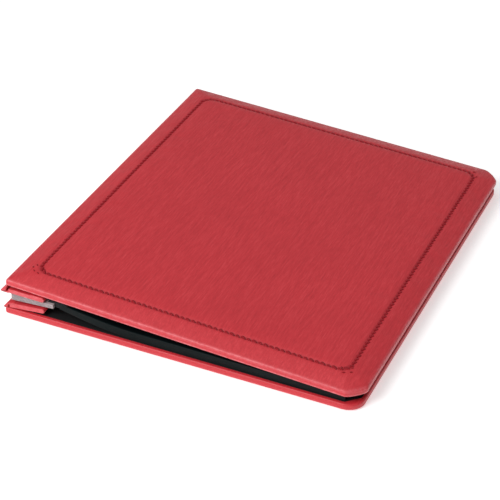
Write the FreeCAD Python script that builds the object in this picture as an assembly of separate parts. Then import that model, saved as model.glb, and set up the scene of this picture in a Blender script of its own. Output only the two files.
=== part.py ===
import FreeCAD, Part

import math
import os

from FreeCAD import Vector

# A closed post-bound album with two padded covers. X runs from the spine to the fore-edge, Y along the
# spine and Z up. Everything is drawn with X measured from the back cover's spine edge and Z from the
# surface that the album lies on, then moved sideways so that the origin is under the middle of the whole.

# ---- driving dimensions, mm ----
COVER_WIDTH = 254.0  # spine to fore-edge
COVER_LENGTH = 300.0  # along the spine
CORNER_CUT = 10.0  # legs of the cut fore-edge corners
EDGE_THICKNESS = 4.8  # of either cover at its rim
CROWN = 3.6  # rise of the front cover's padded middle above its rim
FRAME_INSET = 15.5  # stitched frame, in from every edge of the front cover

SKIN = 0.8  # leatherette
BOARD_THICKNESS = 3.0
TURN_IN = 15.0  # leatherette folded over on to a cover's inner face
LINING_INSET = 2.5
LINING_THICKNESS = 0.4
PAD_MARGIN = 2.0

FRONT_RIM_AT_SPINE = 27.5  # height of the front cover's upper rim at the spine
FRONT_RIM_AT_FORE_EDGE = 14.3
FRONT_COVER_SHIFT = 1.5  # front cover's spine edge, in from the back cover's

FLAP_START = 3.5
FLAP_WIDTH = 26.5
FLAP_THICKNESS = 3.4
FLAP_SKIN = 0.7
FLAP_EDGE_ROUND = 1.6  # edge towards the leaves
FLAP_END_ROUND = 0.6
FLAP_LAP = 0.25  # step at the end of a turn-in
UPPER_FLAP_HEIGHT = 17.25  # under the upper flap, at its spine end
UPPER_FLAP_FALL = 1.0  # degrees, down towards the fore-edge
UPPER_TURN_IN = 10.0
LOWER_FLAP_HEIGHT = 8.9  # over the lower flap, at its spine end
LOWER_FLAP_RISE = 5.5  # degrees, up towards the fore-edge
LOWER_TURN_IN = 21.0

HINGE_CLOTH = 0.7
BACK_HINGE_AXIS = (-1.2, 4.9)
FRONT_HINGE_AXIS = (-1.6, 20.6)
LEAF_HINGE_AXIS = (38.0, 20.6)

LEAVES = 6
STRIP_START = 4.6
STRIP_END = 36.3
STRIP_LENGTH = 297.0
STRIP_THICKNESS = 0.3
STRIP_PITCH_AT_SPINE = 0.85
STRIP_PITCH_AT_END = 0.5
LOWEST_STRIP_AT_SPINE = 11.5
LOWEST_STRIP_AT_END = 13.4

LEAF_START = 40.3
LEAF_END = 243.0
LEAF_LENGTH = 294.0
LEAF_THICKNESS = 0.32
LEAF_SETTLED = 92.0  # from here on the leaves lie flat on each other
LEAF_CLEARANCE = 0.3
LOWEST_LEAF_ROOT = 13.6
ROOT_PITCH = 0.65
SETTLED_PITCH = 1.0
FORE_EDGE_PITCH = 0.72
LEAF_SAG_POWER = 1.5
PROFILE_POINTS = 16

POCKET_FILM = 0.05
POCKET_START = 52.0
POCKET_END = 236.0
POCKET_ROWS = 7
POCKET_PITCH = 40.0
POCKET_HEIGHT = 34.0

POSTS = 3
POST_SPACING = 108.0
POST_X = 14.0
BARREL_RADIUS = 2.5
BARREL_HOLE_RADIUS = 2.7
HEAD_RADIUS = 4.5
COUNTERBORE_RADIUS = 4.8
HEAD_THICKNESS = 1.1
BARREL_BASE = 6.35
BARREL_TOP = 18.9
SCREW_HEAD_BASE = 19.0
SCREW_RADIUS = 1.6
SCREW_CLEARANCE = 0.05
SCREW_TIP = 10.5
SCREW_SLOT = 1.0
SLOT_DEPTH = 0.6

THREAD_WIDTH = 1.4
THREAD_HEIGHT = 0.5
FRAME_CORNER = 9.0

BACK_TOP = EDGE_THICKNESS  # inner face of the back cover's turn-ins
LINING_TOP = BACK_TOP + LINING_THICKNESS
FRONT_TILT = math.degrees(math.atan2(FRONT_RIM_AT_SPINE - FRONT_RIM_AT_FORE_EDGE, COVER_WIDTH))
Y_AXIS = Vector(0, 1, 0)
X_AXIS = Vector(1, 0, 0)


# ---- shapes ----
def wire_through(points):
    return Part.makePolygon(list(points) + [points[0]])


def outline(inset, height):
    """A cover's rim, moved in by inset: two square spine corners and two cut fore-edge corners."""
    half = COVER_LENGTH / 2 - inset
    left = inset
    right = COVER_WIDTH - inset
    cut = CORNER_CUT - inset * (2 - math.sqrt(2))
    points = [(left, -half), (right - cut, -half), (right, -half + cut)]
    points += [(right, half - cut), (right - cut, half), (left, half)]
    return wire_through([Vector(x, y, height) for x, y in points])


def slab(inset, bottom, top):
    return Part.Face(outline(inset, bottom)).extrude(Vector(0, 0, top - bottom))


def frustum(low_inset, low, high_inset, high):
    return Part.makeLoft([outline(low_inset, low), outline(high_inset, high)], True, True)


def across(section, length):
    """Extrudes a closed outline in the XZ plane to a length centred on Y = 0."""
    face = Part.Face(section)
    face.translate(Vector(0, -length / 2, 0))
    return face.extrude(Vector(0, length, 0))


def section(points):
    return wire_through([Vector(x, 0, z) for x, z in points])


def band(path, thickness):
    """The outline of a strip of even thickness whose middle follows a path in the XZ plane."""
    near_side = []
    far_side = []
    for i, (x, z) in enumerate(path):
        before = path[max(i - 1, 0)]
        after = path[min(i + 1, len(path) - 1)]
        here = (x, z)
        normals = []
        for a, b in ((before, here), (here, after)):
            run = math.hypot(b[0] - a[0], b[1] - a[1])
            if run > 0:
                normals.append(((a[1] - b[1]) / run, (b[0] - a[0]) / run))
        nx = sum(n[0] for n in normals)
        nz = sum(n[1] for n in normals)
        size = math.hypot(nx, nz)
        nx /= size
        nz /= size
        reach = thickness / 2 / (nx * normals[0][0] + nz * normals[0][1])
        near_side.append((x + nx * reach, z + nz * reach))
        far_side.append((x - nx * reach, z - nz * reach))
    return section(near_side + far_side[::-1])


def cylinder(radius, x, y, bottom, top):
    return Part.makeCylinder(radius, top - bottom, Vector(x, y, bottom))


def post_places():
    first = -POST_SPACING * (POSTS - 1) / 2
    return [first + POST_SPACING * i for i in range(POSTS)]


def drilled(shape, radius, bottom, top):
    """Cuts the row of post holes through a shape, from one height to another."""
    for y in post_places():
        shape = shape.cut(cylinder(radius, POST_X, y, bottom, top))
    return shape


# ---- covers, drawn with the inner face at Z = 0 and the outer face upwards ----
def cover_pieces(crown):
    board = slab(SKIN, SKIN, SKIN + BOARD_THICKNESS)
    board_top = SKIN + BOARD_THICKNESS
    outer = slab(0, 0, EDGE_THICKNESS)
    if crown:
        outer = outer.fuse(frustum(0, EDGE_THICKNESS, FRAME_INSET, EDGE_THICKNESS + crown)).removeSplitter()
        padding = frustum(PAD_MARGIN, board_top, FRAME_INSET + SKIN, EDGE_THICKNESS + crown - SKIN)
    else:
        padding = slab(PAD_MARGIN, board_top, EDGE_THICKNESS - SKIN / 2)
    opening = slab(TURN_IN, 0, SKIN)
    lining = slab(LINING_INSET, -LINING_THICKNESS, 0).fuse(opening).removeSplitter()
    covering = outer.cut(board).cut(padding).cut(opening)
    return {"board": board, "padding": padding, "covering": covering, "lining": lining}


def stitching():
    """The thread frame, as one flat ring lying on the padded middle."""
    base = EDGE_THICKNESS + CROWN
    rings = []
    for offset in (-THREAD_WIDTH / 2, THREAD_WIDTH / 2):
        inset = FRAME_INSET + THREAD_WIDTH / 2 + offset
        width = COVER_WIDTH - 2 * inset
        length = COVER_LENGTH - 2 * inset
        block = Part.makeBox(width, length, THREAD_HEIGHT, Vector(inset, -length / 2, base))
        upright = [e for e in block.Edges if abs(e.tangentAt(e.FirstParameter).z) > 0.9]
        rings.append(block.makeFillet(FRAME_CORNER - offset, upright))
    return rings[0].cut(rings[1])


def lay_front(shape):
    """Tilts a piece of the front cover and sets it down on the leaves."""
    shape.rotate(Vector(0, 0, 0), Y_AXIS, FRONT_TILT)
    tilt = math.radians(FRONT_TILT)
    rim_x = EDGE_THICKNESS * math.sin(tilt)
    rim_z = EDGE_THICKNESS * math.cos(tilt)
    shape.translate(Vector(FRONT_COVER_SHIFT - rim_x, 0, FRONT_RIM_AT_SPINE - rim_z))
    return shape


def lay_back(shape):
    """Turns a piece of the back cover over, so that its inner face looks up."""
    shape.rotate(Vector(0, 0, 0), X_AXIS, 180)
    shape.translate(Vector(0, 0, BACK_TOP))
    return shape


# ---- flaps, drawn with the face towards the leaves at Z = 0 ----
def flap_pieces(turn_in):
    """A board wrapped in leatherette all round, ends too, with its turn-in short of the spine on one face."""
    half = COVER_LENGTH / 2
    outer = Part.makeBox(FLAP_WIDTH, COVER_LENGTH, FLAP_THICKNESS, Vector(0, -half, 0))
    far = [e for e in outer.Edges if abs(e.CenterOfMass.x - FLAP_WIDTH) < 0.01]
    outer = outer.makeFillet(FLAP_EDGE_ROUND, [e for e in far if abs(e.CenterOfMass.y) < 0.01])
    rims = [e for e in outer.Edges if half - abs(e.CenterOfMass.y) < 0.01]
    outer = outer.makeFillet(FLAP_END_ROUND, [e for e in rims if e.CenterOfMass.x > 0.01])
    board_size = (FLAP_WIDTH - FLAP_SKIN, COVER_LENGTH - 2 * FLAP_SKIN, FLAP_THICKNESS - 2 * FLAP_SKIN)
    board = Part.makeBox(*board_size, Vector(0, FLAP_SKIN - half, FLAP_SKIN))
    single = (FLAP_WIDTH - turn_in, COVER_LENGTH, FLAP_LAP)
    recess = Part.makeBox(*single, Vector(0, -half, FLAP_THICKNESS - FLAP_LAP))
    return board, outer.cut(board).cut(recess)


def upper_flap():
    pieces = []
    for shape in flap_pieces(UPPER_TURN_IN):
        shape.rotate(Vector(0, 0, 0), Y_AXIS, UPPER_FLAP_FALL)
        shape.translate(Vector(FLAP_START, 0, UPPER_FLAP_HEIGHT))
        shape = drilled(shape, BARREL_HOLE_RADIUS, UPPER_FLAP_HEIGHT - FLAP_THICKNESS, SCREW_HEAD_BASE)
        shape = drilled(shape, COUNTERBORE_RADIUS, SCREW_HEAD_BASE, FRONT_RIM_AT_SPINE)
        pieces.append(shape)
    return pieces


def lower_flap():
    pieces = []
    head_top = BARREL_BASE + HEAD_THICKNESS
    for shape in flap_pieces(LOWER_TURN_IN):
        shape.rotate(Vector(0, 0, 0), X_AXIS, 180)
        shape.rotate(Vector(0, 0, 0), Y_AXIS, -LOWER_FLAP_RISE)
        shape.translate(Vector(FLAP_START, 0, LOWER_FLAP_HEIGHT))
        shape = drilled(shape, BARREL_HOLE_RADIUS, head_top, FRONT_RIM_AT_SPINE)
        shape = drilled(shape, COUNTERBORE_RADIUS, 0, head_top)
        pieces.append(shape)
    return pieces


def front_hinge_cloth():
    """Drops from the front cover's spine edge, bulges out at the spine and runs in under the upper flap."""
    inside = UPPER_FLAP_HEIGHT + FLAP_SKIN / 2
    path = [(2.0, 22.1), (1.6, 21.4), (-2.1, inside + 0.2), (FLAP_START, inside)]
    return across(band(path, HINGE_CLOTH), COVER_LENGTH)


def back_hinge_cloth():
    """Rises from the back cover's spine edge and runs slanting on to the lower flap."""
    inside = LOWER_FLAP_HEIGHT - FLAP_SKIN / 2
    path = [(1.6, BACK_TOP + 0.45), (-0.4, BACK_TOP + 0.5), (2.5, inside - 0.1), (FLAP_START, inside)]
    return across(band(path, HINGE_CLOTH), COVER_LENGTH)


# ---- screw posts ----
def post_barrel(y):
    head_top = BARREL_BASE + HEAD_THICKNESS
    head = cylinder(HEAD_RADIUS, POST_X, y, BARREL_BASE, head_top)
    tube = cylinder(BARREL_RADIUS, POST_X, y, head_top, BARREL_TOP)
    bore = cylinder(SCREW_RADIUS + SCREW_CLEARANCE, POST_X, y, SCREW_TIP - 1, BARREL_TOP)
    return head.fuse(tube).removeSplitter().cut(bore)


def post_screw(y):
    head_top = SCREW_HEAD_BASE + HEAD_THICKNESS
    head = cylinder(HEAD_RADIUS, POST_X, y, SCREW_HEAD_BASE, head_top)
    shank = cylinder(SCREW_RADIUS, POST_X, y, SCREW_TIP, SCREW_HEAD_BASE)
    corner = Vector(POST_X - HEAD_RADIUS, y - SCREW_SLOT / 2, head_top - SLOT_DEPTH)
    slot = Part.makeBox(2 * HEAD_RADIUS, SCREW_SLOT, SLOT_DEPTH, corner)
    return head.fuse(shank).removeSplitter().cut(slot)


# ---- leaves; layer 0 is the lowest ----
def strip_height(layer):
    """The undersides of a guard strip's spine end and leaf end."""
    at_spine = LOWEST_STRIP_AT_SPINE + STRIP_PITCH_AT_SPINE * layer
    at_end = LOWEST_STRIP_AT_END + STRIP_PITCH_AT_END * layer
    return at_spine, at_end


def guard_strip(layer):
    at_spine, at_end = strip_height(layer)
    corners = [(STRIP_START, at_spine), (STRIP_END, at_end)]
    corners += [(STRIP_END, at_end + STRIP_THICKNESS), (STRIP_START, at_spine + STRIP_THICKNESS)]
    return drilled(across(section(corners), STRIP_LENGTH), BARREL_HOLE_RADIUS, 0, FRONT_RIM_AT_SPINE)


def leaf_height(layer, x):
    """The underside of a leaf: high at its guard strip, then sagging on to the leaves below."""
    along = min(max((x - LEAF_SETTLED) / (LEAF_END - LEAF_SETTLED), 0), 1)
    pitch = SETTLED_PITCH + (FORE_EDGE_PITCH - SETTLED_PITCH) * along
    settled = LINING_TOP + LEAF_CLEARANCE + POCKET_FILM + pitch * layer
    root = LOWEST_LEAF_ROOT + ROOT_PITCH * layer
    fallen = min(max((x - LEAF_START) / (LEAF_SETTLED - LEAF_START), 0), 1)
    return settled + (root - settled) * (1 - fallen) ** LEAF_SAG_POWER


def sheet_along(layer, rise, thickness, length):
    """A thin sheet that follows the whole of a leaf, raised above the leaf's underside."""
    step = (LEAF_END - LEAF_START) / (PROFILE_POINTS - 1)
    places = [LEAF_START + step * i for i in range(PROFILE_POINTS)]
    curve = Part.BSplineCurve()
    curve.interpolate([Vector(x, 0, leaf_height(layer, x)) for x in places])
    low = curve.toShape().translated(Vector(0, 0, rise))
    lift = Vector(0, 0, thickness)
    ends = [Part.makeLine(v.Point, v.Point + lift) for v in low.Vertexes]
    return across(Part.Wire([low, ends[1], low.translated(lift), ends[0]]), length)


def leaf(layer):
    return sheet_along(layer, 0, LEAF_THICKNESS, LEAF_LENGTH)


def leaf_hinge(layer):
    """The linen that bridges the gap from a guard strip to its leaf."""
    strip_end = strip_height(layer)[1]
    root = leaf_height(layer, LEAF_START)
    corners = [(STRIP_END, strip_end), (LEAF_START, root)]
    corners += [(LEAF_START, root + LEAF_THICKNESS), (STRIP_END, strip_end + STRIP_THICKNESS)]
    return across(section(corners), LEAF_LENGTH)


def leaf_pockets(layer):
    """Clear strips across the leaf, in rows on both of its faces."""
    films = []
    for rise in (-POCKET_FILM, LEAF_THICKNESS):
        film = sheet_along(layer, rise, POCKET_FILM, POCKET_HEIGHT)
        corner = Vector(POCKET_START, -POCKET_HEIGHT, 0)
        span = Part.makeBox(POCKET_END - POCKET_START, 2 * POCKET_HEIGHT, FRONT_RIM_AT_SPINE, corner)
        strip = film.common(span).Solids[0]
        for row in range(POCKET_ROWS):
            y = POCKET_PITCH * (row - (POCKET_ROWS - 1) / 2)
            films.append(strip.translated(Vector(0, y, 0)))
    return Part.makeCompound(films)


# ---- assembly ----
def all_pieces():
    pieces = {}
    for name, shape in cover_pieces(0).items():
        pieces["back_cover_" + name] = lay_back(shape)
    for name, shape in cover_pieces(CROWN).items():
        pieces["front_cover_" + name] = lay_front(shape)
    pieces["front_cover_stitching"] = lay_front(stitching())
    pieces["upper_flap_board"], pieces["upper_flap_covering"] = upper_flap()
    pieces["lower_flap_board"], pieces["lower_flap_covering"] = lower_flap()
    pieces["front_hinge_cloth"] = front_hinge_cloth()
    pieces["back_hinge_cloth"] = back_hinge_cloth()
    pieces["post_barrels"] = Part.makeCompound([post_barrel(y) for y in post_places()])
    pieces["post_screws"] = Part.makeCompound([post_screw(y) for y in post_places()])
    for layer in range(LEAVES):
        number = str(LEAVES - layer)  # leaf 1 is the uppermost
        pieces["guard_strip_" + number] = guard_strip(layer)
        pieces["leaf_hinge_" + number] = leaf_hinge(layer)
        pieces["leaf_" + number] = leaf(layer)
        pieces["leaf_pockets_" + number] = leaf_pockets(layer)
    return pieces


def main():
    os.makedirs("parts", exist_ok=True)
    pieces = all_pieces()
    box = Part.makeCompound(list(pieces.values())).BoundBox
    middle = (box.XMin + box.XMax) / 2
    for name, shape in pieces.items():
        shape.translate(Vector(-middle, 0, 0))
        shape.exportStep("parts/" + name + ".step")
    axes = {"back": BACK_HINGE_AXIS, "front": FRONT_HINGE_AXIS, "leaf": LEAF_HINGE_AXIS}
    for name, (x, z) in axes.items():
        print(name, "hinge axis at X", round(x - middle, 3), "Z", z)
    print("size", round(box.XLength, 2), round(box.YLength, 2), round(box.ZLength, 2))


main()
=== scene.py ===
import math
import random

import bmesh
import bpy
import numpy as np
from mathutils import Matrix, Vector, noise


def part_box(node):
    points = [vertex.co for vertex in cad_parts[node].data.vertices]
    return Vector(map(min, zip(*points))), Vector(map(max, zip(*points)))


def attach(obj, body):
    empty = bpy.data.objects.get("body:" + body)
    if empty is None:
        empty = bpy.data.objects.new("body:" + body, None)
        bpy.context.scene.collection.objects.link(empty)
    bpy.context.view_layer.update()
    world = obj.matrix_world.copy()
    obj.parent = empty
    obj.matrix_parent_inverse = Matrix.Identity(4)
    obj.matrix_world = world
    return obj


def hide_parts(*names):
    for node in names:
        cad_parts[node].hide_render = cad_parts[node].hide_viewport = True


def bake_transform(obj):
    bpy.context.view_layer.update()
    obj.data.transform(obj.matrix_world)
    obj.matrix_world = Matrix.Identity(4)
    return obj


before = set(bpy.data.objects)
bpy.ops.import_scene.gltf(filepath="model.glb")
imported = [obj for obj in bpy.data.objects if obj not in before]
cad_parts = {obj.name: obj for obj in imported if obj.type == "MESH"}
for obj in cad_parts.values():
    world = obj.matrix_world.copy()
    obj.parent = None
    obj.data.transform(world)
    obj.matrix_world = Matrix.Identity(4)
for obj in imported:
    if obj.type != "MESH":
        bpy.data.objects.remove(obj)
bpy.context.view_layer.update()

# A closed post-bound album with two padded covers. Lengths in this script are in millimetres until they go
# into a mesh. x runs from the back cover's spine edge, y along the spine and z up.
MM = 0.001
SPINE_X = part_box("back_cover_covering")[0].x / MM
COVER_W = 254.0
COVER_L = 300.0
EDGE = 4.8  # thickness of a cover at its rim
CROWN = 3.6
FRAME_INSET = 15.5
SKIN = 0.72  # thickness of the leatherette
FRONT_SHIFT = 1.5
RIM_SPINE = 27.5
RIM_FORE = 14.3
TILT = math.atan2(RIM_SPINE - RIM_FORE, COVER_W)


def place(p):
    """From this script's x, y, z in millimetres to the frame in metres."""
    return Vector(((p[0] + SPINE_X) * MM, p[1] * MM, p[2] * MM))


def front_place(p):
    """The same for the front cover's own axes: its inner face at z 0, outer face up."""
    x = p[0] * math.cos(TILT) + p[2] * math.sin(TILT)
    z = p[2] * math.cos(TILT) - p[0] * math.sin(TILT)
    x += FRONT_SHIFT - EDGE * math.sin(TILT)
    z += RIM_SPINE - EDGE * math.cos(TILT)
    return place((x, p[1], z))


def back_place(p):
    """The same for the back cover's own axes, turned over so that its inner face looks up."""
    return place((p[0], -p[1], EDGE - p[2]))


# ---- camera ----
CAM_AZ = math.radians(22.566)
CAM_EL = math.radians(33.443)
CAM_ROLL = math.radians(1.781)
CAM_DIST = 1232.5
CAM_SIDE = -11.63
CAM_RISE = -2.22
CAM_LENS = 123.93
ORIGIN_X = 0.90  # middle of the back cover, across


def make_camera():
    right = Vector((math.cos(CAM_AZ), math.sin(CAM_AZ), 0))
    level = math.cos(CAM_EL)
    back = Vector((math.sin(CAM_AZ) * level, -math.cos(CAM_AZ) * level, math.sin(CAM_EL)))
    up = back.cross(right)
    x = right * math.cos(CAM_ROLL) + up * math.sin(CAM_ROLL)
    y = up * math.cos(CAM_ROLL) - right * math.sin(CAM_ROLL)
    place_at = (back * CAM_DIST + right * CAM_SIDE + up * CAM_RISE + Vector((ORIGIN_X, 0, 0))) * MM
    data = bpy.data.cameras.new("camera")
    data.lens = CAM_LENS
    data.sensor_width = 36.0
    data.clip_start = 0.05
    data.clip_end = 20
    cam = bpy.data.objects.new("camera", data)
    bpy.context.scene.collection.objects.link(cam)
    rot = Matrix((x, y, back)).transposed().to_4x4()
    cam.matrix_world = Matrix.Translation(place_at) @ rot
    bpy.context.scene.camera = cam


make_camera()


# ---- materials ----
class Nodes:
    """A small helper for building a node material."""

    def __init__(self, name):
        self.mat = bpy.data.materials.new(name)
        self.mat.use_nodes = True
        self.tree = self.mat.node_tree
        self.tree.nodes.clear()
        self.out = self.add("ShaderNodeOutputMaterial")
        self.bsdf = self.add("ShaderNodeBsdfPrincipled")
        self.link(self.bsdf.outputs[0], self.out.inputs[0])

    def add(self, kind, **settings):
        node = self.tree.nodes.new(kind)
        for key, value in settings.items():
            setattr(node, key, value)
        return node

    def link(self, a, b):
        self.tree.links.new(a, b)

    def put(self, value, socket):
        if isinstance(value, bpy.types.NodeSocket):
            self.link(value, socket)
        else:
            socket.default_value = value

    def coords(self, source):
        """Position in millimetres: a piece's own stored place, or the object's."""
        if source:
            base = self.add("ShaderNodeAttribute", attribute_name=source).outputs["Vector"]
            return base
        base = self.add("ShaderNodeTexCoord").outputs["Object"]
        return self.vec("SCALE", base, scale=1 / MM)

    def vec(self, op, a, b=None, scale=None):
        node = self.add("ShaderNodeVectorMath", operation=op)
        self.put(a, node.inputs[0])
        if b is not None:
            self.put(b, node.inputs[1])
        if scale is not None:
            self.put(scale, node.inputs["Scale"])
        return node.outputs[0]

    def math(self, op, a, b=0.0, clamp=False):
        node = self.add("ShaderNodeMath", operation=op, use_clamp=clamp)
        self.put(a, node.inputs[0])
        self.put(b, node.inputs[1])
        return node.outputs[0]

    def noise(self, at, scale, detail=3.0, rough=0.55, distortion=0.0):
        node = self.add("ShaderNodeTexNoise")
        self.put(at, node.inputs["Vector"])
        node.inputs["Scale"].default_value = scale
        node.inputs["Detail"].default_value = detail
        node.inputs["Roughness"].default_value = rough
        node.inputs["Distortion"].default_value = distortion
        return node.outputs["Fac"]

    def ramp(self, fac, stops):
        node = self.add("ShaderNodeValToRGB")
        ramp = node.color_ramp
        while len(ramp.elements) < len(stops):
            ramp.elements.new(0.5)
        for element, (pos, col) in zip(ramp.elements, stops):
            element.position = pos
            element.color = (*col, 1) if len(col) == 3 else col
        self.put(fac, node.inputs[0])
        return node.outputs[0]

    def range(self, fac, a, b, c, d):
        node = self.add("ShaderNodeMapRange")
        self.put(fac, node.inputs[0])
        for i, v in enumerate((a, b, c, d)):
            self.put(v, node.inputs[i + 1])
        return node.outputs[0]

    def mix(self, fac, a, b, blend="MIX"):
        node = self.add("ShaderNodeMix", data_type="RGBA", blend_type=blend)
        self.put(fac, node.inputs[0])
        self.put(a if isinstance(a, bpy.types.NodeSocket) else (*a, 1), node.inputs[6])
        self.put(b if isinstance(b, bpy.types.NodeSocket) else (*b, 1), node.inputs[7])
        return node.outputs[2]

    def bump(self, height, strength, distance, normal=None):
        node = self.add("ShaderNodeBump")
        node.inputs["Strength"].default_value = strength
        node.inputs["Distance"].default_value = distance
        self.put(height, node.inputs["Height"])
        if normal is not None:
            self.link(normal, node.inputs["Normal"])
        return node.outputs[0]

    def finish(self, color=None, roughness=None, normal=None, **constants):
        if color is not None:
            self.put(color, self.bsdf.inputs["Base Color"])
        if roughness is not None:
            self.put(roughness, self.bsdf.inputs["Roughness"])
        if normal is not None:
            self.link(normal, self.bsdf.inputs["Normal"])
        for key, value in constants.items():
            self.bsdf.inputs[key.replace("_", " ")].default_value = value
        return self.mat


def srgb(r, g, b):
    """Linear colour from 0-255 screen values."""
    def linear(c):
        return ((c / 255 + 0.055) / 1.055) ** 2.4 if c > 10 else c / 255 / 12.92

    return linear(r), linear(g), linear(b)


RED = srgb(200, 42, 52)
RED_DARK = srgb(180, 31, 42)
RED_LIGHT = srgb(215, 62, 70)
# Pink for the rims: a painted highlight, mixed with rubbed wear.
RIM_HIGHLIGHT_PINK = srgb(238, 140, 148)
# Distance from the middle, in mm, over which flap and hinge ends get a painted highlight.
END_HIGHLIGHT_BAND = (149.1, 149.6)
# Painted shade colour for the stitched groove.
SEAM_SHADE_COLOUR = srgb(156, 14, 30)


def leatherette(name, source, ends=0.0):
    """Grained book leatherette: long fine streaks along the spine crossed by faint threads. Mesh attributes
    make it paler and pinker at a rim, partly rubbed wear and partly painted highlight, and darker with
    painted shade along the stitched line.
    ends: how strongly a painted highlight pales a strip's folded ends."""
    n = Nodes(name)
    at = n.coords(source)
    streak_at = n.vec("MULTIPLY", at, (1.0, 0.07, 1.0))
    streaks = n.noise(streak_at, 0.95, 4.0, 0.62)
    fine = n.noise(n.vec("MULTIPLY", at, (1.0, 0.09, 1.0)), 2.6, 2.0, 0.5)
    cross = n.noise(n.vec("MULTIPLY", at, (0.12, 1.0, 0.12)), 1.9, 2.0, 0.5)
    patches = n.noise(at, 0.018, 2.0, 0.5)
    tone = n.math("ADD", n.math("MULTIPLY", streaks, 0.62), n.math("MULTIPLY", fine, 0.38))
    colour = n.ramp(tone, [(0.30, RED_DARK), (0.52, RED), (0.72, RED_LIGHT)])
    colour = n.mix(n.range(patches, 0.35, 0.65, 0.0, 0.16), colour, RED_DARK)
    # Paler pink at the rims, partly rubbed wear and partly painted highlight, broken up by noise.
    edge = n.add("ShaderNodeAttribute", attribute_name="wear_and_highlight").outputs["Fac"]
    # A painted highlight pales a strip's folded ends.
    if ends:
        parts = n.add("ShaderNodeSeparateXYZ")
        n.link(at, parts.inputs[0])
        out = n.range(n.math("ABSOLUTE", parts.outputs[1]), END_HIGHLIGHT_BAND[0], END_HIGHLIGHT_BAND[1], 0.0, ends)
        edge = n.math("MAXIMUM", edge, out)
    rim_wear_highlight_mask = n.math("MULTIPLY", edge, n.range(n.noise(at, 0.35, 3.0), 0.35, 0.65, 0.25, 1.0), clamp=True)
    # Painted shade darkens the leatherette along the stitched groove, varied by the streaks.
    seam_shade = n.add("ShaderNodeAttribute", attribute_name="seam_shade").outputs["Fac"]
    colour = n.mix(n.math("MULTIPLY", seam_shade, n.range(streaks, 0.35, 0.65, 0.75, 0.4)), colour, SEAM_SHADE_COLOUR)
    colour = n.mix(n.math("MULTIPLY", rim_wear_highlight_mask, 0.62), colour, RIM_HIGHLIGHT_PINK)
    height = n.math("ADD", n.math("MULTIPLY", streaks, 1.0), n.math("MULTIPLY", fine, 0.5))
    height = n.math("ADD", height, n.math("MULTIPLY", cross, 0.35))
    normal = n.bump(height, 0.55, 0.00022)
    rough = n.range(tone, 0.3, 0.7, 0.50, 0.38)
    return n.finish(
        colour, rough, normal,
        Sheen_Weight=0.08, Sheen_Roughness=0.4, Coat_Weight=0.06, Coat_Roughness=0.32,
        Specular_IOR_Level=0.45,
    )


def simple_fabric(name, source, dark, light, pitch, rough, sheen):
    """A plain weave of the given thread pitch."""
    n = Nodes(name)
    at = n.coords(source)
    parts = n.add("ShaderNodeSeparateXYZ")
    n.link(at, parts.inputs[0])
    wave = 2 * math.pi / pitch
    warp = n.math("SINE", n.math("MULTIPLY", parts.outputs[0], wave))
    weft = n.math("SINE", n.math("MULTIPLY", parts.outputs[1], wave))
    weave = n.math("MULTIPLY", warp, weft)
    slub = n.noise(n.vec("MULTIPLY", at, (1.0, 0.15, 1.0)), 1.2, 3.0)
    tone = n.math("ADD", n.math("MULTIPLY", weave, 0.22), slub)
    colour = n.ramp(tone, [(0.3, dark), (0.75, light)])
    normal = n.bump(tone, 0.6, 0.0002)
    return n.finish(colour, rough, normal, Sheen_Weight=sheen, Sheen_Roughness=0.5, Specular_IOR_Level=0.3)


def thread_material():
    n = Nodes("thread_red")
    at = n.coords("strand")
    parts = n.add("ShaderNodeSeparateXYZ")
    n.link(at, parts.inputs[0])
    ply = n.math("SINE", n.math("ADD", n.math("MULTIPLY", parts.outputs[0], 5.2), parts.outputs[1]))
    fuzz = n.noise(at, 3.5, 3.0)
    tone = n.math("ADD", n.math("MULTIPLY", ply, 0.25), fuzz)
    colour = n.ramp(tone, [(0.25, srgb(118, 3, 16)), (0.55, srgb(150, 7, 24)), (0.85, srgb(176, 18, 34))])
    normal = n.bump(tone, 0.7, 0.00018)
    return n.finish(colour, 0.55, normal, Sheen_Weight=0.04, Sheen_Roughness=0.4, Specular_IOR_Level=0.3)


def card_material(name, source, base, sheen_tint, fibre_and_highlight_colour):
    """Smooth black card: faint fibres, a painted cool teal sheen on its flat faces and a painted highlight
    band along their head and tail edges; the cut sides stay plain black.
    """
    n = Nodes(name)
    at = n.coords(source)
    fibres = n.noise(n.vec("MULTIPLY", at, (0.3, 1.0, 1.0)), 1.6, 5.0, 0.65)
    clouds = n.noise(at, 0.02, 2.0)
    # Painted teal sheen in soft clouds over the card.
    colour = n.mix(n.range(clouds, 0.3, 0.7, 0.0, 1.0), base, sheen_tint)
    colour = n.mix(n.range(fibres, 0.62, 0.8, 0.0, 0.35), colour, fibre_and_highlight_colour)
    normal_of = n.add("ShaderNodeTexCoord").outputs["Normal"]
    parts = n.add("ShaderNodeSeparateXYZ")
    n.link(normal_of, parts.inputs[0])
    # Side faces keep the plain black, so the painted sheen and highlight stay on the flat faces.
    upright = n.math("ABSOLUTE", parts.outputs[2])
    side = n.range(upright, 0.55, 0.75, 1.0, 0.0)
    colour = n.mix(side, colour, base)
    place_parts = n.add("ShaderNodeSeparateXYZ")
    n.link(at, place_parts.inputs[0])
    out = n.math("ABSOLUTE", place_parts.outputs[1])
    # Painted highlight band on the flat faces within a millimetre of the head and tail edges.
    near_edge_highlight = n.math("MULTIPLY", n.range(out, 145.6, 146.6, 0.0, 1.0), n.math("SUBTRACT", 1.0, side))
    colour = n.mix(n.math("MULTIPLY", near_edge_highlight, n.range(clouds, 0.3, 0.7, 0.5, 1.0)), colour, fibre_and_highlight_colour)
    rough = n.range(fibres, 0.3, 0.7, 0.48, 0.36)
    normal = n.bump(fibres, 0.25, 0.0001)
    return n.finish(colour, rough, normal, Specular_IOR_Level=0.26)


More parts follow.
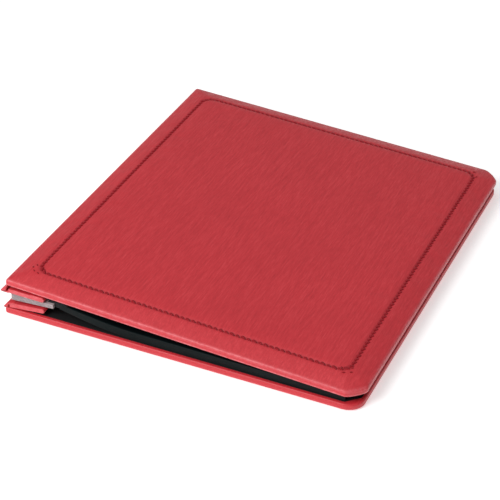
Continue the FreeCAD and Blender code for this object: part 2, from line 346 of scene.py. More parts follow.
def paper_material(name, source, base, dark, rough=0.8):
    n = Nodes(name)
    at = n.coords(source)
    fibres = n.noise(n.vec("MULTIPLY", at, (0.5, 1.0, 1.0)), 1.1, 6.0, 0.7)
    specks = n.noise(at, 0.25, 3.0)
    tone = n.math("ADD", n.math("MULTIPLY", fibres, 0.7), n.math("MULTIPLY", specks, 0.3))
    colour = n.ramp(tone, [(0.32, dark), (0.62, base)])
    normal = n.bump(tone, 0.35, 0.00015)
    shine = n.range(tone, 0.3, 0.7, rough + 0.08, rough - 0.06)
    return n.finish(colour, shine, normal, Specular_IOR_Level=0.3)


def film_material():
    n = Nodes("clear_film")
    at = n.coords(None)
    ripple = n.noise(n.vec("MULTIPLY", at, (0.05, 0.4, 1.0)), 1.0, 2.0)
    smear = n.noise(at, 0.08, 4.0, 0.6)
    colour = n.ramp(smear, [(0.3, (0.55, 0.58, 0.6)), (0.7, (0.75, 0.78, 0.8))])
    normal = n.bump(ripple, 0.25, 0.0004)
    return n.finish(colour, n.range(smear, 0.3, 0.7, 0.08, 0.2), normal, Alpha=0.16, Specular_IOR_Level=0.6)


def metal_material():
    n = Nodes("post_brass")
    at = n.coords(None)
    scratches = n.noise(n.vec("MULTIPLY", at, (0.25, 3.0, 1.0)), 2.0, 3.0)
    tarnish = n.noise(at, 0.5, 3.0)
    colour = n.ramp(tarnish, [(0.3, srgb(150, 122, 66)), (0.7, srgb(212, 186, 118))])
    normal = n.bump(scratches, 0.3, 0.00008)
    return n.finish(colour, n.range(tarnish, 0.3, 0.7, 0.42, 0.26), normal, Metallic=1.0)


def foam_material():
    n = Nodes("wadding_foam")
    at = n.coords(None)
    cells = n.add("ShaderNodeTexVoronoi")
    n.link(at, cells.inputs["Vector"])
    cells.inputs["Scale"].default_value = 1.4
    colour = n.ramp(cells.outputs["Distance"], [(0.0, srgb(228, 224, 208)), (0.7, srgb(196, 190, 170))])
    normal = n.bump(cells.outputs["Distance"], 0.6, 0.0004)
    return n.finish(colour, 0.9, normal, Sheen_Weight=0.3)


M_COVER = leatherette("leatherette_cover", "grain")
# The flap and hinge strips get a painted highlight at their folded ends.
M_FLAP = leatherette("leatherette_flap", None, 0.45)
M_HINGE = leatherette("leatherette_hinge", "grain", 0.2)
M_THREAD = thread_material()
CARD_BLACK = (0.002, 0.0032, 0.0038)
# A painted teal sheen for the card's flat faces.
CARD_SHEEN_TINT = (0.003, 0.0075, 0.0085)
# Colour of the card's fibres and of a painted highlight along its head and tail edges.
CARD_FIBRE_AND_HIGHLIGHT = (0.022, 0.038, 0.038)
M_CARD = card_material("black_card", None, CARD_BLACK, CARD_SHEEN_TINT, CARD_FIBRE_AND_HIGHLIGHT)
M_GUARD = paper_material("guard_paper", None, srgb(190, 178, 180), srgb(150, 138, 140))
M_LINEN = simple_fabric("black_linen", "grain", (0.004, 0.004, 0.005), (0.03, 0.03, 0.034), 0.8, 0.75, 0.25)
M_BOARD = paper_material("grey_board", None, srgb(176, 168, 154), srgb(142, 134, 120))
M_LINING = paper_material("lining_paper", None, (0.012, 0.012, 0.013), (0.005, 0.005, 0.0055), 0.7)
M_FILM = film_material()
M_BRASS = metal_material()
M_FOAM = foam_material()

CAD_LOOKS = {
    "board": M_BOARD, "padding": M_FOAM, "lining": M_LINING, "covering": M_FLAP,
    "post_barrels": M_BRASS, "post_screws": M_BRASS, "guard_strip": M_GUARD,
    "leaf_hinge": M_LINEN, "leaf_pockets": M_FILM, "leaf": M_CARD, "hinge_cloth": M_FLAP,
    "stitching": M_THREAD,
}


def dress_cad():
    """Gives each CAD node the material of the longest key in its name."""
    for name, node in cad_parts.items():
        keys = [k for k in CAD_LOOKS if k in name]
        material = CAD_LOOKS[max(keys, key=len)]
        node.data.materials.clear()
        node.data.materials.append(material)


dress_cad()


# ---- mesh helpers ----
def make_object(name, verts, faces, material, own=None, wear_and_highlight=None, seam_shade=None):
    """A smooth-shaded mesh object from metre coordinates. own: each vertex's place in mm, for the grain."""
    mesh = bpy.data.meshes.new(name)
    mesh.from_pydata([tuple(v) for v in verts], [], faces)
    mesh.validate()
    mesh.polygons.foreach_set("use_smooth", [True] * len(mesh.polygons))
    if own is not None:
        attribute = mesh.attributes.new("grain", "FLOAT_VECTOR", "POINT")
        attribute.data.foreach_set("vector", np.asarray(own, np.float32).ravel())
    # Per-vertex rim paling (rubbed wear and painted highlight) and painted shade along the stitched line.
    for key, values in (("wear_and_highlight", wear_and_highlight), ("seam_shade", seam_shade)):
        if values is not None:
            attribute = mesh.attributes.new(key, "FLOAT", "POINT")
            attribute.data.foreach_set("value", np.asarray(values, np.float32))
    mesh.materials.append(material)
    mesh.update()
    obj = bpy.data.objects.new(name, mesh)
    bpy.context.scene.collection.objects.link(obj)
    return obj


def fix_normals(obj):
    bm = bmesh.new()
    bm.from_mesh(obj.data)
    bmesh.ops.recalc_face_normals(bm, faces=bm.faces)
    bm.to_mesh(obj.data)
    bm.free()


def apply_modifiers(obj):
    bpy.context.view_layer.update()
    dg = bpy.context.evaluated_depsgraph_get()
    shown = obj.evaluated_get(dg)
    done = bpy.data.meshes.new_from_object(shown, preserve_all_data_layers=True, depsgraph=dg)
    old = obj.data
    obj.modifiers.clear()
    obj.data = done
    bpy.data.meshes.remove(old)


# ---- covers ----
# A cover's mesh lines run at these insets from its edges, then evenly over its middle.
INSETS = [0, 0.12, 0.35, 0.75, 1.3, 2.1, 3.2, 4.6, 6.2, 8.0, 9.8, 11.4, 12.7, 13.6]
INSETS += [14.3, 14.85, 15.3, 15.7, 16.1]
INSETS += [16.6, 17.3, 18.4, 20.0, 22.2, 24.8, 28.0, 32.0, 36.5]
MIDDLE_STEP = 1.6
CUT, ROUND = 0.24, 0.5523  # fullness of a corner
FORE_CORNER = 11.6
SPINE_CORNER, SPINE_FULLNESS = 1.6, 0.55
FRAME_CORNER = 9.0
CORNER_ZONE = 60  # corners bend no mesh lines past this
SEAM_SHADE_HALF = 1.5  # half the width of the painted shade along the stitched line
# Insets where the rims pale, partly rubbed wear and partly painted highlight.
WEAR_HIGHLIGHT_OUTSIDE, WEAR_HIGHLIGHT_OUTSIDE_REACH = 0.5, 1.1
WEAR_HIGHLIGHT_INSIDE, WEAR_HIGHLIGHT_INSIDE_REACH = 0.2, 0.8
WEAR_HIGHLIGHT_TOP = 1.5  # the inner edge's rubbed wear and painted highlight stay below this height


def corner_curve(d, fore, corner):
    """Reach and fullness of a cover's corner at inset d: a fore-edge or a small spine corner at the rim,
    and a round corner at the stitched frame."""
    rim_reach, rim_full = (FORE_CORNER, corner) if fore else (SPINE_CORNER, SPINE_FULLNESS)
    if d <= FRAME_INSET:
        t = max(d, 0) / FRAME_INSET
        t = t * t * (3 - 2 * t)
        return rim_reach + (FRAME_CORNER - rim_reach) * t, rim_full + (ROUND - rim_full) * t
    t = min((d - FRAME_INSET) / (INSETS[-1] - FRAME_INSET), 1)
    return FRAME_CORNER * (1 - t), ROUND


def bend_corner(a, b, fore, corner):
    """Moves a grid point at insets a and b from a corner's two sides on to its ring's corner curve."""
    d = min(a, b)
    reach, full = corner_curve(d, fore, corner)
    along = max(a, b) - d
    if reach < 1e-6 or along >= reach:
        return a, b
    t = 0.5 * (1 - along / reach)
    p1 = reach * (1 - full)
    # cubic from the far end of the short side (t 0) to the corner's middle (t 0.5)
    far = (1 - t) ** 3 * reach + 3 * (1 - t) ** 2 * t * p1
    near = 3 * (1 - t) * t * t * p1 + t ** 3 * reach
    if a >= b:
        return d + far, d + near
    return d + near, d + far


def lines(total):
    """Where the mesh lines run across a cover of this size."""
    middle = total - 2 * INSETS[-1]
    count = round(middle / MIDDLE_STEP)
    inner = [INSETS[-1] + middle * i / count for i in range(1, count)]
    return INSETS + inner + [total - d for d in reversed(INSETS)]


XS = lines(COVER_W)
YS = lines(COVER_L)


def plan(x, y, corner):
    """Final plan place of a grid point (x from the spine edge, y from the front edge), and its inset."""
    a = min(x, COVER_W - x)
    b = min(y, COVER_L - y)
    d = min(a, b)
    fore = x > COVER_W / 2
    if max(a, b) < CORNER_ZONE:
        a, b = bend_corner(a, b, fore, corner)
    px = a if not fore else COVER_W - a
    py = b if y < COVER_L / 2 else COVER_L - b
    return px, py - COVER_L / 2, d


def profile_height(profile, d):
    """Height of the outer face at inset d, between the profile's points."""
    for (d0, z0), (d1, z1) in zip(profile, profile[1:]):
        if d <= d1:
            t = (d - d0) / (d1 - d0)
            return z0 + (z1 - z0) * t
    return profile[-1][1]


# Inset and height: the rounded rim, the padded slope, the dip that holds the thread, and the raised middle.
FRONT_PROFILE = [
    (0, 3.55), (0.12, 4.02), (0.35, 4.42), (0.75, 4.76), (1.3, 5.02), (2.1, 5.28), (3.2, 5.58),
    (4.6, 5.95), (6.2, 6.37), (8.0, 6.83), (9.8, 7.27), (11.4, 7.64), (12.7, 7.92), (13.6, 8.05),
    (14.3, 8.06), (14.85, 7.92), (15.3, 7.78), (15.7, 7.78), (16.1, 7.92), (16.6, 8.1),
    (17.3, 8.26), (18.4, 8.38), (20.0, 8.44), (22.2, 8.47), (36.5, 8.5),
]
BACK_PROFILE = [(0, 3.7), (0.12, 4.1), (0.35, 4.42), (0.75, 4.66), (1.3, 4.77), (2.1, 4.8), (36.5, 4.8)]

# Inset and height below the outer face: the rim, its round inner edge and the turned-in leatherette.
UNDER_ROWS = [(0.0, 2.9), (0.0, 2.0), (0.02, 1.3), (0.12, 0.8), (0.38, 0.38), (0.8, 0.13), (1.4, 0.02)]
UNDER_ROWS += [(2.4, 0), (4.0, 0), (7.0, 0), (10.5, 0), (14.2, 0), (14.85, 0.06), (15.0, 0.3)]


def cover_mesh(name, to_frame, profile, soften, material, rim_wear_and_highlight, stitched, corner):
    """A cover's leatherette: outer face, rim and turn-ins, as one skin given its thickness inwards.
    The rim's outer and inner edges pale by the given pair of amounts, partly rubbed wear and partly painted
    highlight. stitched: whether painted shade darkens it along the stitched line.
    corner: fullness of its two fore-edge corners."""
    nx, ny = len(XS), len(YS)
    verts = []
    own = []
    wear_and_highlight = []
    seam_shade = []
    for y in YS:
        for x in XS:
            px, py, d = plan(x, y, corner)
            z = profile_height(profile, d) + soften(px, py, d)
            # Painted shade along the stitched line.
            seam_shade.append(math.exp(-(((d - FRAME_INSET) / SEAM_SHADE_HALF) ** 4)) if stitched else 0.0)
            verts.append(to_frame((px, py, z)))
            own.append((px, py, z))
            # Rim paling on the outer face, partly rubbed wear and partly painted highlight.
            wear_and_highlight.append(rim_wear_and_highlight[0] * max(0.0, 1 - abs(d - WEAR_HIGHLIGHT_OUTSIDE) / WEAR_HIGHLIGHT_OUTSIDE_REACH))
    faces = []
    for j in range(ny - 1):
        for i in range(nx - 1):
            k = j * nx + i
            faces.append((k, k + 1, k + nx + 1, k + nx))
    loop = [(i, 0) for i in range(nx)] + [(nx - 1, j) for j in range(1, ny)]
    loop += [(i, ny - 1) for i in range(nx - 2, -1, -1)] + [(0, j) for j in range(ny - 2, 0, -1)]
    last = [j * nx + i for i, j in loop]
    for inset, z in UNDER_ROWS:
        row = []
        squeeze = (COVER_W / 2 - inset) / (COVER_W / 2), (COVER_L / 2 - inset) / (COVER_L / 2)
        for i, j in loop:
            x = COVER_W / 2 + (XS[i] - COVER_W / 2) * squeeze[0]
            y = COVER_L / 2 + (YS[j] - COVER_L / 2) * squeeze[1]
            px, py, _ = plan(x, y, corner)
            row.append(len(verts))
            seam_shade.append(0.0)
            verts.append(to_frame((px, py, z)))
            own.append((px, py, z - 3))
            # The same rubbed wear and painted highlight on the rim's inner edge.
            worn_and_lit = max(0.0, 1 - abs(inset - WEAR_HIGHLIGHT_INSIDE) / WEAR_HIGHLIGHT_INSIDE_REACH)
            wear_and_highlight.append(rim_wear_and_highlight[1] * worn_and_lit if z < WEAR_HIGHLIGHT_TOP else 0.0)
        for k in range(len(loop)):
            m = (k + 1) % len(loop)
            faces.append((last[k], row[k], row[m], last[m]))
        last = row
    obj = make_object(name, verts, faces, material, own, wear_and_highlight, seam_shade)
    fix_normals(obj)
    solid = obj.modifiers.new("thickness", "SOLIDIFY")
    solid.thickness = SKIN * MM
    solid.offset = -1
    apply_modifiers(obj)
    return obj


# ---- padding ----
SIM_EDGE = [0.0, 5.2, 10.3, FRAME_INSET]
SIM_STEP = 6.0
SIM_FRAMES = 20
SWELL_CAP = 0.55  # mm that the padding may lift the leatherette
SWELL_SCALE = 1.6  # simulated rise, in mm, that gives three quarters of the cap


def sim_lines(total):
    """Where the coarse cloth's lines run across a cover of this size."""
    middle = total - 2 * FRAME_INSET
    count = round(middle / SIM_STEP)
    inner = [FRAME_INSET + middle * i / count for i in range(1, count)]
    return SIM_EDGE + inner + [total - d for d in reversed(SIM_EDGE)]


def simulate_padding():
    """Blows the leatherette up as cloth held at the rim and along the stitched frame. Returns the coarse
    cloth's lines and how far its points lift the cover, in mm: its rise, scaled down to the cap."""
    xs, ys = sim_lines(COVER_W), sim_lines(COVER_L)
    verts = [(x * MM, y * MM, 0) for y in ys for x in xs]
    faces = []
    for j in range(len(ys) - 1):
        for i in range(len(xs) - 1):
            k = j * len(xs) + i
            faces.append((k, k + 1, k + len(xs) + 1, k + len(xs)))
    mesh = bpy.data.meshes.new("padding_cloth")
    mesh.from_pydata(verts, [], faces)
    cloth = bpy.data.objects.new("padding_cloth", mesh)
    bpy.context.scene.collection.objects.link(cloth)
    held = []
    for k, (x, y, _) in enumerate(verts):
        d = min(x / MM, y / MM, COVER_W - x / MM, COVER_L - y / MM)
        if d < 0.01 or abs(d - FRAME_INSET) < 0.01:
            held.append(k)
    cloth.vertex_groups.new(name="held").add(held, 1.0, "REPLACE")
    modifier = cloth.modifiers.new("cloth", "CLOTH")
    settings = modifier.settings
    settings.quality = 6
    settings.mass = 0.3
    settings.tension_stiffness = 12
    settings.compression_stiffness = 12
    settings.bending_stiffness = 0.4
    settings.vertex_group_mass = "held"
    settings.shrink_min = -0.004
    settings.use_pressure = True
    settings.uniform_pressure_force = 1.2
    settings.effector_weights.gravity = 0
    modifier.point_cache.frame_start = 1
    modifier.point_cache.frame_end = SIM_FRAMES
    for number in range(1, SIM_FRAMES + 1):
        bpy.context.scene.frame_set(number)
    done = cloth.evaluated_get(bpy.context.evaluated_depsgraph_get())
    rise = np.array([v.co.z for v in done.data.vertices]).reshape(len(ys), len(xs)) / MM
    bpy.data.objects.remove(cloth)
    bpy.context.scene.frame_set(1)
    return xs, ys, SWELL_CAP * np.tanh(rise / SWELL_SCALE)


SWELL = simulate_padding()


def padding_rise(x, y):
    """How far the simulated cloth lifts the point at x, y (y from the front edge)."""
    if SWELL is None:
        return 0.0
    xs, ys, rise = SWELL
    i = min(max(int(np.searchsorted(xs, x)) - 1, 0), len(xs) - 2)
    j = min(max(int(np.searchsorted(ys, y)) - 1, 0), len(ys) - 2)
    u = min(max((x - xs[i]) / (xs[i + 1] - xs[i]), 0), 1)
    v = min(max((y - ys[j]) / (ys[j + 1] - ys[j]), 0), 1)
    near = rise[j, i] * (1 - u) + rise[j, i + 1] * u
    far = rise[j + 1, i] * (1 - u) + rise[j + 1, i + 1] * u
    return float(near * (1 - v) + far * v)


WIDE_SWELL, SMALL_SWELL = 0.22, 0.06
FLAT_RIM, SWELL_FADE = 2, 14  # the unevenness starts at this inset and is full after this much more
STITCH_PITCH = 3.93
PUCKER_REACH = 3.2
PUCKER_LEAN = 0.8
PUCKER_DEPTH = 0.05
GROOVE_DEPTH = 0.06
GROOVE_WIDTH = 1.5


def front_swell(x, y, d):
    """Soft unevenness of the padding, the groove and puckers at the thread, and the simulated swell."""
    wide = noise.noise(Vector((x * 0.016, y * 0.016, 3.1))) * WIDE_SWELL
    small = noise.noise(Vector((x * 0.06, y * 0.05, 7.7))) * SMALL_SWELL
    fade = min(max((d - FLAT_RIM) / SWELL_FADE, 0), 1)
    from_ends = min(y + COVER_L / 2, COVER_L / 2 - y)
    from_sides = min(x, COVER_W - x)
    along = x if from_ends < from_sides else y
    off = (d - FRAME_INSET) / PUCKER_REACH
    phase = 2 * math.pi * (along + (d - FRAME_INSET) * PUCKER_LEAN) / STITCH_PITCH
    pucker = math.cos(phase) * math.exp(-off * off) * PUCKER_DEPTH
    groove = -GROOVE_DEPTH * math.exp(-((d - FRAME_INSET) / GROOVE_WIDTH) ** 2)
    return (wide + small) * fade + pucker + groove + padding_rise(x, y + COVER_L / 2)


def back_swell(x, y, d):
    """The back cover is flat."""
    return 0.0


front = cover_mesh(
    "front_cover_leatherette", front_place, FRONT_PROFILE, front_swell, M_COVER,
    rim_wear_and_highlight=(0.6, 1.0), stitched=True, corner=CUT,
)
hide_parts("front_cover_covering")
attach(front, "front_cover")

back = cover_mesh(
    "back_cover_leatherette", back_place, BACK_PROFILE, back_swell, M_COVER,
    rim_wear_and_highlight=(0.75, 0.0), stitched=False, corner=ROUND,
)
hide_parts("back_cover_covering")
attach(back, "back_cover")


PAD_START = 2.1  # inset of the foam's own rim
PAD_EVERY = 4  # of the fine mesh lines in the middle
PAD_UNDER_SKIN = 0.85  # below the leatherette's outer face
BOARD_TOP = 3.8


def wadding_mesh(name, to_frame, profile, soften):
    """The foam between the board and the leatherette, a little inside the rim."""
    def pick(lines_of, total):
        edge = [d for d in INSETS if d >= PAD_START][::2]
        inner = [v for v in lines_of if INSETS[-1] < v < total - INSETS[-1]][::PAD_EVERY]
        return edge + inner + [total - d for d in reversed(edge)]

    xs, ys = pick(XS, COVER_W), pick(YS, COVER_L)
    nx, ny = len(xs), len(ys)
    verts = []
    for top in (True, False):
        for y in ys:
            for x in xs:
                px, py, d = plan(x, y, CUT)
                foam_top = profile_height(profile, d) + soften(px, py, d) - PAD_UNDER_SKIN
                z = foam_top if top else BOARD_TOP
                verts.append(to_frame((px, py, z)))
    faces = []
    for j in range(ny - 1):
        for i in range(nx - 1):
            k = j * nx + i
            faces.append((k, k + 1, k + nx + 1, k + nx))
            m = k + nx * ny
            faces.append((m, m + nx, m + nx + 1, m + 1))
    loop = list(range(nx)) + [j * nx + nx - 1 for j in range(1, ny)]
    loop += [(ny - 1) * nx + i for i in range(nx - 2, -1, -1)] + [j * nx for j in range(ny - 2, 0, -1)]
    for k, a in enumerate(loop):
        b = loop[(k + 1) % len(loop)]
        faces.append((a, a + nx * ny, b + nx * ny, b))
    obj = make_object(name, verts, faces, M_FOAM)
    fix_normals(obj)
    return obj


front_pad = wadding_mesh("front_cover_wadding", front_place, FRONT_PROFILE, front_swell)
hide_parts("front_cover_padding")
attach(front_pad, "front_cover")
back_pad = wadding_mesh("back_cover_wadding", back_place, BACK_PROFILE, back_swell)
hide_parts("back_cover_padding")
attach(back_pad, "back_cover")


# ---- stitched frame ----
STITCH_LENGTH = 5.3
STITCH_WIDTH = 1.0  # half a strand's
STITCH_SLANT = math.radians(-38)
STITCH_LIFT = 0.3
STITCH_DIVE = 0.36
STITCH_FLAT = 0.5  # height of a strand over its width
STITCH_ARCH = 0.42  # how far a strand's middle rises above its ends
STITCH_END = 0.22  # a strand's thickness at its ends, over its width
STITCH_PLY = 0.07  # depth of the twist
SMALL_STITCH = 0.86  # every second stitch, over the others
SIDE_STEPS, CORNER_STEPS = 200, 30


def frame_path():
    """Evenly spaced places and directions along the stitched frame, anticlockwise from the front left."""
    x0, x1 = FRAME_INSET, COVER_W - FRAME_INSET
    y0, y1 = FRAME_INSET - COVER_L / 2, COVER_L / 2 - FRAME_INSET
    r = FRAME_CORNER
    segments = []
    centres = [(x1 - r, y0 + r, -90), (x1 - r, y1 - r, 0), (x0 + r, y1 - r, 90), (x0 + r, y0 + r, 180)]
    starts = [((x0 + r, y0), (x1 - r, y0)), ((x1, y0 + r), (x1, y1 - r)), ((x1 - r, y1), (x0 + r, y1)),
              ((x0, y1 - r), (x0, y0 + r))]
    for (a, b), (cx, cy, turn) in zip(starts, centres):
        segments.append(("line", a, b))
        segments.append(("arc", (cx, cy), turn))
    points = []
    for kind, a, b in segments:
        if kind == "line":
            heading = math.atan2(b[1] - a[1], b[0] - a[0])
            for i in range(SIDE_STEPS + 1):
                x = a[0] + (b[0] - a[0]) * i / SIDE_STEPS
                y = a[1] + (b[1] - a[1]) * i / SIDE_STEPS
                points.append((x, y, heading))
        else:
            for i in range(1, CORNER_STEPS):
                t = math.radians(b + 90 * i / CORNER_STEPS)
                points.append((a[0] + r * math.cos(t), a[1] + r * math.sin(t), t + math.pi / 2))
    points.append(points[0])
    steps = [math.dist(p[:2], q[:2]) for p, q in zip(points, points[1:])]
    total = sum(steps)
    count = 2 * round(total / STITCH_PITCH / 2)
    result = []
    walked = 0.0
    k = 0
    for i in range(count):
        target = total * i / count
        while walked + steps[k] < target:
            walked += steps[k]
            k += 1
        t = (target - walked) / steps[k] if steps[k] > 0 else 0
        p, q = points[k], points[k + 1]
        result.append((p[0] + (q[0] - p[0]) * t, p[1] + (q[1] - p[1]) * t, p[2]))
    return result


def stitch(verts, faces, own, x, y, z, heading, length, width, dive):
    """A plump strand of thread between two needle holes, its ends drawn down into the padding."""
    along, around = 9, 8
    base = len(verts)
    ca, sa = math.cos(heading), math.sin(heading)
    for i in range(along + 1):
        t = i / along * 2 - 1
        fat = math.sqrt(max(0.0, 1 - abs(t) ** 3.4))
        fat = max(fat, STITCH_END)
        rise = (1 - t * t) * STITCH_ARCH - dive
        for k in range(around):
            w = 2 * math.pi * k / around
            ply = 1 + STITCH_PLY * math.cos(3 * w + 7 * t)
            across = math.cos(w) * width * fat * ply
            up = math.sin(w) * width * STITCH_FLAT * fat * ply + rise
            u = t * length / 2
            verts.append(front_place((x + u * ca - across * sa, y + u * sa + across * ca, z + up)))
            own.append((u + x, w, 0))
    for i in range(along):
        for k in range(around):
            m = (k + 1) % around
            a = base + i * around
            faces.append((a + k, a + m, a + around + m, a + around + k))
    faces.append(tuple(base + k for k in range(around - 1, -1, -1)))
    faces.append(tuple(base + along * around + k for k in range(around)))


# Extra stitches where the seam's ends overrun at three corners: x, y from the front, turn, length.
OVERRUN_STITCHES = [
    (12.6, 21.0, -50, 2.6), (11.2, 18.0, -62, 2.0), (13.6, 14.6, -40, 2.2), (17.4, 13.2, -30, 2.4),
    (19.5, 18.6, -48, 3.4),
    (239.6, 20.4, 52, 2.4), (236.0, 13.6, 20, 2.6), (240.2, 16.2, 40, 2.0), (233.0, 18.0, -40, 3.0),
    (240.0, 280.6, 60, 2.4), (236.4, 286.4, 10, 2.2),
]
OVERRUN_LIFT, OVERRUN_WIDTH, OVERRUN_DIVE = 0.2, 0.42, 0.1


def make_stitching():
    rng = random.Random(11)
    verts, faces, own = [], [], []
    z = profile_height(FRONT_PROFILE, FRAME_INSET)
    for i, (x, y, heading) in enumerate(frame_path()):
        big = i % 2 == 0
        size = 1.0 if big else SMALL_STITCH
        length = STITCH_LENGTH * size * rng.uniform(0.94, 1.06)
        width = STITCH_WIDTH * size * rng.uniform(0.93, 1.07)
        turn = heading + STITCH_SLANT + rng.uniform(-0.08, 0.08)
        lift = front_swell(x, y, FRAME_INSET)
        top = z + STITCH_LIFT + lift
        stitch(verts, faces, own, x, y, top, turn, length, width, STITCH_DIVE)
    for x, y, turn, length in OVERRUN_STITCHES:
        place_y = y - COVER_L / 2
        top = z + OVERRUN_LIFT
        turn = math.radians(turn)
        stitch(verts, faces, own, x, place_y, top, turn, length, OVERRUN_WIDTH, OVERRUN_DIVE)
    obj = make_object("front_cover_thread", verts, faces, M_THREAD)
    attribute = obj.data.attributes.new("strand", "FLOAT_VECTOR", "POINT")
    attribute.data.foreach_set("vector", np.asarray(own, np.float32).ravel())
    fix_normals(obj)
    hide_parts("front_cover_stitching")
    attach(obj, "front_cover")


make_stitching()


# ---- hinge cloths ----
HINGE_ROWS = 100
CLOTH = 0.7
CURVE_STEPS = 6


def catmull_rom(a, b, c, d, t):
    """A value between b and c, on the curve through all four."""
    square = 2 * a - 5 * b + 4 * c - d
    cube = 3 * b - a - 3 * c + d
    return 0.5 * (2 * b + (c - a) * t + square * t * t + cube * t ** 3)


def smooth_path(path):
    """A curve through the points, which may carry more values than x and z."""
    fine = []
    for i in range(len(path) - 1):
        before, here = path[max(i - 1, 0)], path[i]
        there, after = path[i + 1], path[min(i + 2, len(path) - 1)]
        for k in range(CURVE_STEPS):
            t = k / CURVE_STEPS
            fine.append(tuple(
                catmull_rom(a, b, c, d, t) for a, b, c, d in zip(before, here, there, after)
            ))
    fine.append(path[-1])
    return fine


def cloth_strip(name, path, inner_side):
    """A spine-long strip of leatherette following x, z and thickness in path, plump where it folds over
    its own turned-in edge. inner_side: 1 where the fold's inside is left of the path, -1 where right."""
    fine = smooth_path(path)
    rows = HINGE_ROWS
    outer, inner, own = [], [], []
    walked = 0.0
    for i, (x, z, thick) in enumerate(fine):
        a, b = fine[max(i - 1, 0)], fine[min(i + 1, len(fine) - 1)]
        dx, dz = b[0] - a[0], b[1] - a[1]
        size = math.hypot(dx, dz)
        nx, nz = -dz / size * inner_side, dx / size * inner_side
        if i:
            walked += math.dist(fine[i - 1][:2], (x, z))
        loose = math.sin(math.pi * i / (len(fine) - 1))
        for j in range(rows + 1):
            y = COVER_L * (j / rows - 0.5)
            wave = noise.noise(Vector((y * 0.03, walked * 0.1, 5.5))) * 0.12 * loose
            outer.append(place((x - nx * CLOTH / 2 - wave, y, z - nz * CLOTH / 2)))
            inner.append(place((x + nx * (thick - CLOTH / 2) - wave, y, z + nz * (thick - CLOTH / 2))))
            own.append((walked, y, 0))
    faces = []
    total = len(outer)
    for i in range(len(fine) - 1):
        for j in range(rows):
            k = i * (rows + 1) + j
            faces.append((k, k + 1, k + rows + 2, k + rows + 1))
            faces.append((total + k, total + k + rows + 1, total + k + rows + 2, total + k + 1))
    loop = list(range(rows + 1)) + [i * (rows + 1) + rows for i in range(1, len(fine))]
    loop += [(len(fine) - 1) * (rows + 1) + j for j in range(rows - 1, -1, -1)]
    loop += [i * (rows + 1) for i in range(len(fine) - 2, 0, -1)]
    for k, a in enumerate(loop):
        b = loop[(k + 1) % len(loop)]
        faces.append((a, total + a, total + b, b))
    obj = make_object(name, outer + inner, faces, M_HINGE, own + own)
    fix_normals(obj)
    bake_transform(obj)
    return obj


# From each cover's spine edge round the fold and on to its flap: x, z and thickness.
FRONT_FOLD = [
    (2.0, 22.1, 0.7), (1.6, 21.4, 0.8), (-0.6, 19.5, 2.6), (-2.0, 18.2, 1.0), (-1.2, 17.62, 0.7),
    (3.5, 17.6, 0.7),
]
BACK_FOLD = [
    (2.2, 5.25, 0.7), (1.0, 5.25, 0.7), (-0.4, 5.35, 0.9), (1.0, 6.9, 1.9), (2.6, 8.4, 0.9),
    (7.6, 8.95, 0.7),
]
front_hinge = cloth_strip(
    "front_hinge_leatherette", FRONT_FOLD, 1,
)
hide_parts("front_hinge_cloth")
back_hinge = cloth_strip(
    "back_hinge_leatherette", BACK_FOLD, -1,
)
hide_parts("back_hinge_cloth")


# ---- leaf hinges ----
LEAVES = 6
STRIP_START, STRIP_END = 4.6, 36.3
LEAF_START, LEAF_SETTLED = 40.3, 92.0
# Heights of the lowest strip and leaf, and the step from each to the one above it.
STRIP_FOOT, STRIP_FOOT_STEP = 11.5, 0.85
STRIP_TIP, STRIP_TIP_STEP = 13.4, 0.5
LEAF_ROOT, LEAF_ROOT_STEP = 13.6, 0.65
LEAF_REST = 5.55  # the leaves lie 1 mm apart once they have settled
STRIP_THICK, LEAF_THICK = 0.3, 0.32
LINEN_LAP = 5.0  # glued on to the strip, and on to the leaf
LINEN_RISE = 0.07
LINEN = 0.09
LINEN_ROWS = 60
HINGE_LENGTH = 293.0
LAP_ROWS = 8
# Each leaf's linen folds a little outside the one above it, so that the turned linens nest.
FOLD_START = 37.0
FOLD_SHIFT = 0.15
FOLD_GAP = 2.0


def strip_top(layer, x):
    """Height of a guard strip's upper face; layer 0 is the lowest."""
    low = STRIP_FOOT + STRIP_FOOT_STEP * layer
    high = STRIP_TIP + STRIP_TIP_STEP * layer
    return low + (high - low) * (x - STRIP_START) / (STRIP_END - STRIP_START) + STRIP_THICK


def leaf_top(layer, x):
    """Height of a leaf's upper face, which falls from its root on to the leaves below."""
    settled = LEAF_REST + layer
    root = LEAF_ROOT + LEAF_ROOT_STEP * layer
    fallen = min(max((x - LEAF_START) / (LEAF_SETTLED - LEAF_START), 0), 1)
    return settled + (root - settled) * (1 - fallen) ** 1.5 + LEAF_THICK


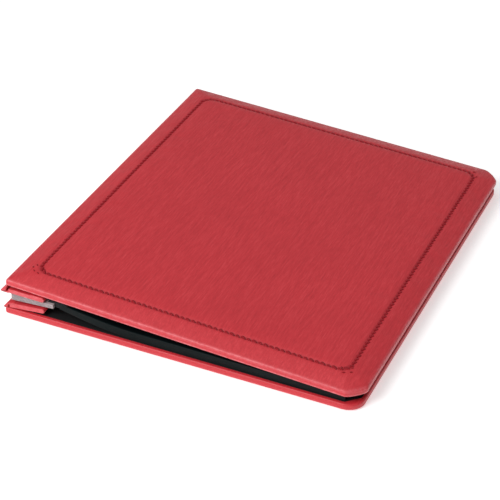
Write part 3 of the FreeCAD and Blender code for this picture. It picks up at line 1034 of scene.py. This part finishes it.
def linen_hinge(layer):
    """Black bookbinder's linen from a guard strip's end across the gap on to its leaf."""
    number = str(LEAVES - layer)
    start, end = STRIP_END - LINEN_LAP, LEAF_START + LINEN_LAP
    depth = LEAVES - 1 - layer
    fold = FOLD_START + FOLD_SHIFT * depth
    far = fold + FOLD_GAP - 2 * FOLD_SHIFT * depth
    xs = [start + (fold - start) * i / LAP_ROWS for i in range(LAP_ROWS + 1)]
    xs += [far + (end - far) * i / LAP_ROWS for i in range(LAP_ROWS + 1)]
    count = len(xs) - 1
    path = []
    for x in xs:
        if x <= STRIP_END:
            z = strip_top(layer, x)
        elif x >= LEAF_START:
            z = leaf_top(layer, x)
        else:
            t = (x - STRIP_END) / (LEAF_START - STRIP_END)
            z = strip_top(layer, STRIP_END) * (1 - t) + leaf_top(layer, LEAF_START) * t
        path.append((x, z + LINEN_RISE))
    rows = LINEN_ROWS
    verts, faces, own = [], [], []
    walked = 0.0
    for i, (x, z) in enumerate(path):
        if i:
            walked += math.dist(path[i - 1], path[i])
        for j in range(rows + 1):
            y = HINGE_LENGTH * (j / rows - 0.5)
            verts.append(place((x, y, z)))
            own.append((walked, y, 0))
    for i in range(count):
        for j in range(rows):
            k = i * (rows + 1) + j
            faces.append((k, k + 1, k + rows + 2, k + rows + 1))
    obj = make_object("leaf_linen_" + number, verts, faces, M_LINEN, own)
    solid = obj.modifiers.new("thickness", "SOLIDIFY")
    solid.thickness = LINEN * MM
    solid.offset = 0
    apply_modifiers(obj)
    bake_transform(obj)
    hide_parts("leaf_hinge_" + number)


for layer in range(LEAVES):
    linen_hinge(layer)


# ---- stage ----
FLOOR_HALF = 6.0  # metres
FLOOR_DROP = 0.0002


def make_stage():
    n = Nodes("studio_floor")
    at = n.coords(None)
    cloud = n.noise(at, 0.004, 2.0)
    colour = n.ramp(cloud, [(0.3, (0.86, 0.86, 0.86)), (0.7, (0.9, 0.9, 0.9))])
    n.finish(colour, 0.9, Emission_Strength=0.42, Emission_Color=(1, 1, 1, 1))
    mesh = bpy.data.meshes.new("floor")
    size = FLOOR_HALF
    corners = [(-size, -size, 0), (size, -size, 0), (size, size, 0), (-size, size, 0)]
    mesh.from_pydata(corners, [], [(0, 1, 2, 3)])
    mesh.materials.append(n.mat)
    floor = bpy.data.objects.new("floor", mesh)
    floor.location.z = -FLOOR_DROP
    bpy.context.scene.collection.objects.link(floor)


def area_light(name, at, aim, size, power, colour=(1, 1, 1)):
    data = bpy.data.lights.new(name, "AREA")
    data.shape = "RECTANGLE"
    data.size, data.size_y = size
    data.energy = power
    data.color = colour
    light = bpy.data.objects.new(name, data)
    light.location = at
    light.rotation_euler = (Vector(aim) - Vector(at)).to_track_quat("-Z", "Y").to_euler()
    bpy.context.scene.collection.objects.link(light)


def make_lights():
    world = bpy.data.worlds.new("studio")
    world.use_nodes = True
    background = world.node_tree.nodes["Background"]
    background.inputs[0].default_value = (1, 1, 1, 1)
    background.inputs[1].default_value = 0.32
    bpy.context.scene.world = world
    area_light("key", (-0.55, -1.15, 1.0), (0, -0.05, 0), (0.8, 0.8), 18)
    area_light("top", (-0.2, 0.0, 1.8), (0, 0, 0), (1.6, 1.6), 7)


make_stage()
make_lights()
scene = bpy.context.scene
scene.view_settings.view_transform = "Standard"
scene.view_settings.look = "None"
scene.view_settings.exposure = 0.0
